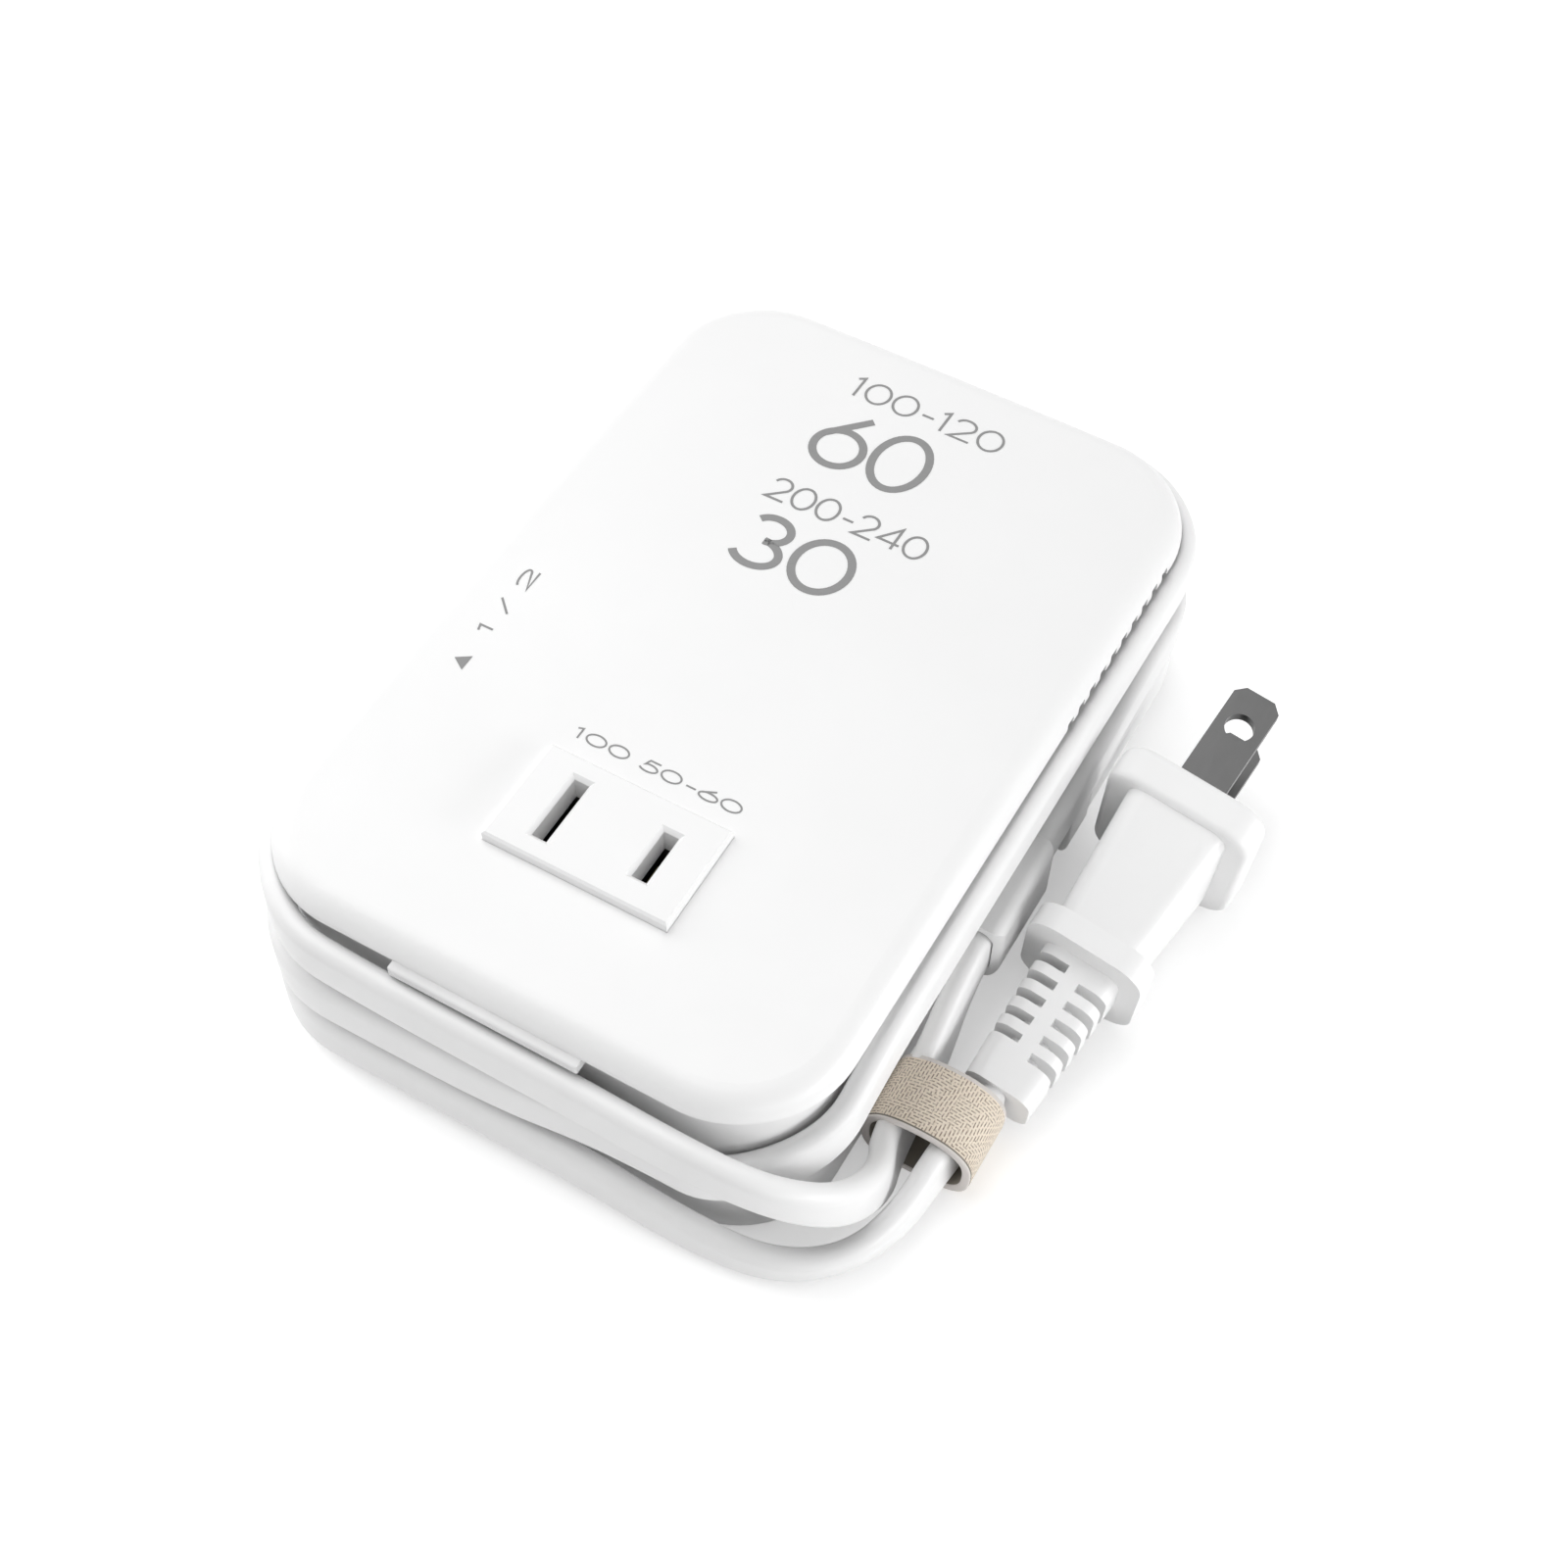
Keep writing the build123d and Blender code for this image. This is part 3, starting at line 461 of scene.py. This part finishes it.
def strap_weave():
    """Fine cream weave with short dark stitches whose rows turn from patch to patch."""
    material, tree, shader = blank("cream_weave")
    cloth = put(tree, "UVMap", {"uv_map": "cloth"}).outputs[0]
    bend = put(tree, "TexNoise", Vector=cloth, Scale=240.0, Detail=1.0)
    areas = put(tree, "TexNoise", Vector=cloth, Scale=310.0)
    patches = spread(tree, areas.outputs[0], 0.49, 0.51)
    wobble = reckon(tree, "MULTIPLY", bend.outputs[0], WAVER)
    parts = put(tree, "SeparateXYZ", Vector=cloth).outputs
    round_ring = reckon(tree, "ADD", parts["X"], wobble)
    across = reckon(tree, "ADD", parts["Y"], wobble)
    dashes = []
    for first, second in ((round_ring, across), (across, round_ring)):
        row = reckon(tree, "DIVIDE", first, STITCH_ROW)
        step = reckon(tree, "MULTIPLY", reckon(tree, "FLOOR", row), ROW_STAGGER)
        run = reckon(tree, "ADD", reckon(tree, "DIVIDE", second, STITCH_LENGTH), step)
        line = near_middle(tree, reckon(tree, "FRACT", row), 0.09, 0.25)
        stitch = near_middle(tree, reckon(tree, "FRACT", run), 0.33, 0.42)
        dashes.append(reckon(tree, "MULTIPLY", line, stitch))
    kept = reckon(tree, "SUBTRACT", 1.0, patches)
    first = reckon(tree, "MULTIPLY", dashes[0], kept)
    second = reckon(tree, "MULTIPLY", dashes[1], patches)
    stitches = reckon(tree, "ADD", first, second)
    uneven = put(tree, "TexNoise", Vector=cloth, Scale=2400.0, Detail=2.0)
    tone = tint(tree, uneven.outputs[0], (0.76, 0.66, 0.54, 1), (0.95, 0.85, 0.72, 1))
    fade = spread(tree, uneven.outputs[0], 0.35, 0.6, 0.3, 0.85)
    colour = tint(tree, reckon(tree, "MULTIPLY", stitches, fade), tone, STITCH_BROWN)
    tree.links.new(colour, shader.inputs["Base Color"])
    rough = spread(tree, uneven.outputs[0], 0.3, 0.7, 0.75, 0.95)
    tree.links.new(rough, shader.inputs["Roughness"])
    raise_surface(tree, shader, reckon(tree, "SUBTRACT", uneven.outputs[0], stitches), 0.00008)
    shader.inputs["Sheen Weight"].default_value = 0.25
    return material


def paint(material, *names):
    """Gives carried-over pieces their finish."""
    for name in names:
        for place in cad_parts[name].material_slots:
            place.material = material


WHITE = moulding("satin_white_case", grey(0.90), grey(0.885), 0.30, 0.40, 3200.0, 0.000004, 0.05)
DRUM = moulding("light_grey_drum", grey(0.88), grey(0.85), 0.34, 0.44, 2600.0, 0.000006, 0.08)
CLIP = moulding("grey_clip", grey(0.78), grey(0.75), 0.34, 0.44, 2600.0, 0.000006, 0.08)
TAB = moulding("grained_tab", grey(0.84), grey(0.72), 0.45, 0.60, 2000.0, 0.00003, 0.10, grey(0.85))
JACKET = moulding("soft_white_jacket", grey(0.88), grey(0.85), 0.34, 0.46, 2200.0, 0.000006, 0.06)
PLUG = moulding("satin_white_plug", grey(0.88), grey(0.86), 0.30, 0.40, 2800.0, 0.000005, 0.06)
FOOT = moulding(
    "dark_rubber_foot", grey(0.10), grey(0.07), 0.6, 0.8, 2400.0, 0.00002, 0.3, grey(0.2)
)
BLACK = moulding(
    "black_housing", grey(0.03), grey(0.02), 0.35, 0.5, 2400.0, 0.00001, 0.2, grey(0.08)
)
SLEEVE = moulding(
    "dark_sleeve", (0.05, 0.05, 0.07, 1), (0.03, 0.03, 0.05, 1), 0.25, 0.4, 1800.0, 0.00001
)
EDGE = moulding(
    "strap_edge", (0.74, 0.70, 0.67, 1), (0.68, 0.64, 0.61, 1), 0.7, 0.85, 2600.0, 0.00002
)
# Dark lining inside the ring. The same finish paints shade on the groove walls by the strap's near
# end
LINING_AND_GROOVE_SHADE = moulding(
    "strap_lining_and_painted_groove_shade", (0.30, 0.27, 0.23, 1), (0.18, 0.16, 0.13, 1), 0.8, 0.95, 1700.0, 0.00008
)
NICKEL = sheet_metal(
    "dark_nickel_blades", grey(0.105), grey(0.092), 1200.0, 0.000002, 0.12, grey(0.2)
)
ZINC = sheet_metal("zinc_screws", grey(0.62), grey(0.45), 900.0, 0.00001)
STAINLESS = sheet_metal("stainless_ports", grey(0.66), grey(0.52), 1100.0, 0.000006)
BRASS = sheet_metal("brass_contacts", (0.82, 0.62, 0.28, 1), (0.6, 0.42, 0.16, 1), 1000.0, 0.000006)
CORE = laminated_core()
COPPER = copper_turns()
BOARD = printed_board()
INK = grey_ink()
WEAVE = strap_weave()

SCREWS = [f"case_screw_{count}" for count in range(1, 5)]
FEET = [f"rubber_foot_{count}" for count in range(1, 5)]
LEAD_NODES = ["cord_winding", "cord_loop", "cord_outer_lap", "cord_tail"]

paint(WHITE, "top_cover", "socket_plate")
paint(DRUM, "base_shell", "cord_exit")
paint(CLIP, "cord_clip")
paint(TAB, "cord_tab")
paint(PLUG, "plug_body", "plug_strain_relief")
paint(NICKEL, "plug_blade_lower", "plug_blade_upper")
paint(ZINC, "transformer_clamp", *SCREWS)
paint(FOOT, *FEET)
paint(BLACK, "socket_housing", "bobbin")
paint(BRASS, "socket_contact_left", "socket_contact_right")
paint(CORE, "transformer_core")
paint(COPPER, "primary_winding", "secondary_winding")
paint(BOARD, "circuit_board")
paint(STAINLESS, "usb_a_port", "usb_c_port")
paint(SLEEVE, "capacitor", "choke", "fuse")
lead.data.materials.append(JACKET)

# Strap: a woven band closed round two runs of the lead

STRAP_LOW, STRAP_HIGH = (Vector(place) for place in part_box("cord_strap"))
RING_STEPS = 96
POWER_ABOVE = 2.4
POWER_BELOW = 3.2
# Offset from the near end, depth below the outer face, finish of the strip that follows
BAND_PROFILE = [
    (0.46, 0.00, 0),
    (2.4, 0.00, 0),
    (4.8, 0.00, 0),
    (7.2, 0.00, 0),
    (9.00, 0.00, 1),
    (9.14, 0.06, 1),
    (9.50, 0.02, 1),
    (9.60, 0.20, 1),
    (9.60, 0.90, 1),
    (9.45, 1.10, 2),
    (4.8, 1.10, 2),
    (0.15, 1.10, 1),
    (0.00, 0.90, 1),
    (0.00, 0.15, 1),
    (0.10, 0.02, 1),
    # The two groove walls by the near end take the dark lining finish as painted shade
    (0.26, 0.02, 2),
    (0.36, 0.20, 2),
]


def ring_point(turn, inset):
    """A point of the ring's outline: nearly elliptic above, flatter below."""
    half_width = (STRAP_HIGH.x - STRAP_LOW.x) / 2 - inset
    half_height = (STRAP_HIGH.z - STRAP_LOW.z) / 2 - inset
    power = POWER_ABOVE if math.sin(turn) > 0 else POWER_BELOW
    x = math.copysign(abs(math.cos(turn)) ** (2 / power), math.cos(turn)) * half_width
    z = math.copysign(abs(math.sin(turn)) ** (2 / power), math.sin(turn)) * half_height
    return (STRAP_LOW.x + STRAP_HIGH.x) / 2 + x, (STRAP_LOW.z + STRAP_HIGH.z) / 2 + z


def woven_strap():
    mesh = bpy.data.meshes.new("woven_strap")
    band = bmesh.new()
    cloth = band.loops.layers.uv.new("cloth")
    rings = []
    reach = [0.0]
    for count in range(RING_STEPS):
        turn = 2 * math.pi * count / RING_STEPS
        rings.append([])
        for along, depth, _ in BAND_PROFILE:
            x, z = ring_point(turn, depth * MM)
            rings[-1].append(band.verts.new((x, STRAP_LOW.y + along * MM, z)))
        if count:
            reach.append(reach[-1] + (rings[-1][0].co - rings[-2][0].co).length)
    reach.append(reach[-1] + (rings[0][0].co - rings[-1][0].co).length)
    for count in range(RING_STEPS):
        here, following = rings[count], rings[(count + 1) % RING_STEPS]
        for index, (along, depth, finish) in enumerate(BAND_PROFILE):
            after = (index + 1) % len(BAND_PROFILE)
            corners = (here[index], here[after], following[after], following[index])
            face = band.faces.new(corners)
            face.material_index = finish
            face.smooth = True
            ends = (reach[count], reach[count], reach[count + 1], reach[count + 1])
            across = (along, BAND_PROFILE[after][0], BAND_PROFILE[after][0], along)
            for loop, u, v in zip(face.loops, ends, across):
                loop[cloth].uv = (u, v * MM)
    bmesh.ops.recalc_face_normals(band, faces=band.faces)
    band.to_mesh(mesh)
    band.free()
    for material in (WEAVE, EDGE, LINING_AND_GROOVE_SHADE):
        mesh.materials.append(material)
    strap = bpy.data.objects.new("woven_strap", mesh)
    bpy.context.collection.objects.link(strap)
    return strap


strap = woven_strap()

# Print on the cover: plain numbers in thin even strokes, laid on the crown

COVER_LOW, COVER_HIGH = (Vector(place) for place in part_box("top_cover"))
CROWN_DROP = 1.59 * MM
CROWN_RADIUS = (COVER_HIGH.x**2 + COVER_HIGH.y**2 + CROWN_DROP**2) / (2 * CROWN_DROP)
INK_HEIGHT = 0.03 * MM
ARROW_LENGTH = 1.85 * MM
ARROW_PLACE = (-0.0291, -0.0195)
LAST_FIGURE = 0.72
LEAST_MITRE = 0.35


def bow(middle_x, middle_y, radius_x, radius_y, start, end):
    """Points of an elliptic arc between two angles in degrees."""
    steps = max(4, int(abs(end - start) / 9))
    angles = [math.radians(start + (end - start) * step / steps) for step in range(steps + 1)]
    return [(middle_x + radius_x * math.cos(a), middle_y + radius_y * math.sin(a)) for a in angles]


# Strokes of each figure on a height of 1, and the room that it takes
FIGURES = {
    "0": ([bow(0.36, 0.5, 0.36, 0.5, 90, 450)], 0.88),
    "1": ([[(0.02, 0.86), (0.20, 1.0), (0.20, 0.0)]], 0.46),
    "2": ([bow(0.33, 0.70, 0.30, 0.30, 165, -38) + [(0.02, 0.0), (0.66, 0.0)]], 0.82),
    "3": ([bow(0.30, 0.755, 0.25, 0.245, 150, -90), bow(0.30, 0.265, 0.30, 0.265, 90, -155)], 0.76),
    "4": ([[(0.56, 0.0), (0.56, 1.0), (0.0, 0.26), (0.74, 0.26)]], 0.86),
    "5": (
        [[(0.62, 1.0), (0.22, 1.0), (0.13, 0.56)] + bow(0.30, 0.33, 0.33, 0.33, 110, -155)],
        0.78,
    ),
    "6": ([bow(0.34, 0.33, 0.34, 0.33, 150, 510), [(0.52, 1.0), (0.046, 0.495)]], 0.82),
    "-": ([[(0.06, 0.42), (0.42, 0.42)]], 0.56),
    "/": ([[(0.0, -0.05), (0.40, 1.05)]], 0.56),
    " ": ([], 0.35),
}
# Figures, middle of the line, height, width and stroke in millimetres, turn in degrees
PRINT = {
    "small_upper": ("100-120", (-0.0002, 0.0460), 4.1, 22.4, 0.36, 0),
    "large_upper": ("60", (-0.0030, 0.0361), 11.0, 16.2, 1.10, 0),
    "small_lower": ("200-240", (-0.0001, 0.0242), 4.1, 22.6, 0.36, 0),
    "large_lower": ("30", (-0.0028, 0.0153), 9.6, 16.2, 1.10, 0),
    "outlet": ("100 50-60", (-0.0001, -0.0216), 1.8, 22.8, 0.24, 0),
    "ports": ("1 / 2", (-0.0293, -0.0088), 2.1, 12.0, 0.30, 90),
}


def crown_height(x, y):
    """Height of the cover's crown at a place on it."""
    return COVER_HIGH.z - CROWN_RADIUS + math.sqrt(CROWN_RADIUS**2 - x**2 - y**2)


def lay_on_crown(mesh, name):
    """Sets a flat outline on the crown and makes it a print."""
    for vertex in mesh.vertices:
        vertex.co.z = crown_height(vertex.co.x, vertex.co.y) + INK_HEIGHT
    mesh.materials.append(INK)
    print_object = bpy.data.objects.new(name, mesh)
    bpy.context.collection.objects.link(print_object)
    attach(print_object, "case")


def stroke(outline, points, width):
    """A flat ribbon of even width along the points, mitred at each one."""
    closed = (Vector(points[0]) - Vector(points[-1])).length < width / 100
    places = [Vector(point) for point in (points[:-1] if closed else points)]
    count = len(places)
    pairs = []
    for index, here in enumerate(places):
        before = places[index - 1] if closed or index else None
        after = places[(index + 1) % count] if closed or index < count - 1 else None
        normals = []
        for first, second in ((before, here), (here, after)):
            if first is not None and second is not None:
                run = (second - first).normalized()
                normals.append(Vector((-run.y, run.x)))
        normal = sum(normals, Vector((0, 0))).normalized()
        reach = width / 2 / max(LEAST_MITRE, normal.dot(normals[0]))
        sides = (here + normal * reach, here - normal * reach)
        pairs.append([outline.verts.new((side.x, side.y, 0)) for side in sides])
    for index in range(count if closed else count - 1):
        here, after = pairs[index], pairs[(index + 1) % count]
        outline.faces.new((here[0], here[1], after[1], after[0]))


def printed_numbers(name, figures, middle, height, width, line, turn):
    """A line of plain figures of the given height and width."""
    places = []
    reach = 0.0
    for figure in figures:
        strokes, room = FIGURES[figure]
        places.append((reach, strokes))
        reach += room
    reach -= FIGURES[figures[-1]][1] - LAST_FIGURE
    across = (width - line) / reach
    upright = height - line
    cosine, sine = math.cos(math.radians(turn)), math.sin(math.radians(turn))
    outline = bmesh.new()
    for start, strokes in places:
        for points in strokes:
            laid = []
            for x, y in points:
                x = ((start + x) - reach / 2) * across * MM
                y = (y - 0.5) * upright * MM
                laid.append((middle[0] + x * cosine - y * sine, middle[1] + x * sine + y * cosine))
            stroke(outline, laid, line * MM)
    bmesh.ops.recalc_face_normals(outline, faces=outline.faces)
    mesh = bpy.data.meshes.new(name)
    outline.to_mesh(mesh)
    outline.free()
    lay_on_crown(mesh, "print_" + name)


def port_arrow():
    """A small triangle that points at the charging ports."""
    mesh = bpy.data.meshes.new("port_arrow")
    x, y = ARROW_PLACE
    half = ARROW_LENGTH * 0.65
    tip, back = x - ARROW_LENGTH / 2, x + ARROW_LENGTH / 2
    mesh.from_pydata([(tip, y, 0), (back, y - half, 0), (back, y + half, 0)], [], [(0, 1, 2)])
    lay_on_crown(mesh, "print_port_arrow")


for name, line in PRINT.items():
    printed_numbers(name, *line)
port_arrow()

# Floor and light

FLOOR_REACH = 3.0
FLOOR_GLOW = 0.36
FAR_GLOW = 0.9
GLOW_START, GLOW_END = 0.3, 1.0
WORLD_LEVEL = 0.37
# Place, point that it looks at, size and power of each lamp
LAMPS = {
    "overhead_box": ((-0.42, 0.10, 0.72), (0.0, 0.0, 0.02), (0.9, 1.0), 5.6),
    "right_box": ((0.75, 0.04, 0.14), (0.03, 0.0, 0.01), (0.6, 0.2), 2.9),
    "left_box": ((-0.75, -0.10, 0.25), (-0.03, 0.0, 0.01), (0.5, 0.4), 1.3),
    "near_box": ((0.62, -0.52, 0.16), (0.03, -0.04, 0.01), (0.4, 0.2), 0.7),
}


def studio_floor():
    """A pale floor that reads as white to the camera and keeps the shadow."""
    mesh = bpy.data.meshes.new("studio_floor")
    signs = [(-1, -1), (1, -1), (1, 1), (-1, 1)]
    corners = [(x * FLOOR_REACH, y * FLOOR_REACH, 0) for x, y in signs]
    mesh.from_pydata(corners, [], [(0, 1, 2, 3)])
    material, tree, shader = blank("studio_white")
    tree.nodes.remove(shader)
    path = put(tree, "LightPath").outputs
    seen = reckon(tree, "MAXIMUM", path["Is Camera Ray"], path["Is Glossy Ray"])
    place = put(tree, "TexCoord").outputs["Object"]
    away = put(tree, "VectorMath", {"operation": "LENGTH"}, Vector=place)
    level = spread(tree, away.outputs["Value"], GLOW_START, GLOW_END, FLOOR_GLOW, FAR_GLOW)
    matt = put(tree, "BsdfDiffuse", Color=grey(0.90))
    glow = put(tree, "Emission", Color=grey(1.0), Strength=reckon(tree, "MULTIPLY", seen, level))
    both = put(tree, "AddShader")
    tree.links.new(matt.outputs[0], both.inputs[0])
    tree.links.new(glow.outputs[0], both.inputs[1])
    tree.links.new(both.outputs[0], tree.nodes["Material Output"].inputs["Surface"])
    mesh.materials.append(material)
    floor = bpy.data.objects.new("studio_floor", mesh)
    bpy.context.collection.objects.link(floor)


def soft_box(name, place, aim, size, power):
    """A square lamp that looks at a point of the object."""
    data = bpy.data.lights.new(name, "AREA")
    data.shape = "RECTANGLE"
    data.size, data.size_y = size
    data.energy = power
    lamp = bpy.data.objects.new(name, data)
    lamp.location = place
    heading = Vector(aim) - Vector(place)
    lamp.rotation_euler = heading.to_track_quat("-Z", "Y").to_euler()
    bpy.context.collection.objects.link(lamp)


def studio_light():
    world = bpy.data.worlds.new("studio_world")
    world.use_nodes = True
    bpy.context.scene.world = world
    tree = world.node_tree
    path = put(tree, "LightPath").outputs
    seen = reckon(tree, "MAXIMUM", path["Is Camera Ray"], path["Is Glossy Ray"])
    strength = spread(tree, seen, 0.0, 1.0, WORLD_LEVEL, 1.0)
    tree.links.new(strength, tree.nodes["Background"].inputs["Strength"])
    tree.nodes["Background"].inputs["Color"].default_value = grey(1.0)
    for name, lamp in LAMPS.items():
        soft_box(name, *lamp)
    bpy.context.scene.view_settings.view_transform = "Standard"


studio_floor()
studio_light()

# What rides on what

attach(lead, "case")
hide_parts(*LEAD_NODES)
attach(strap, "case")
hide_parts("cord_strap")
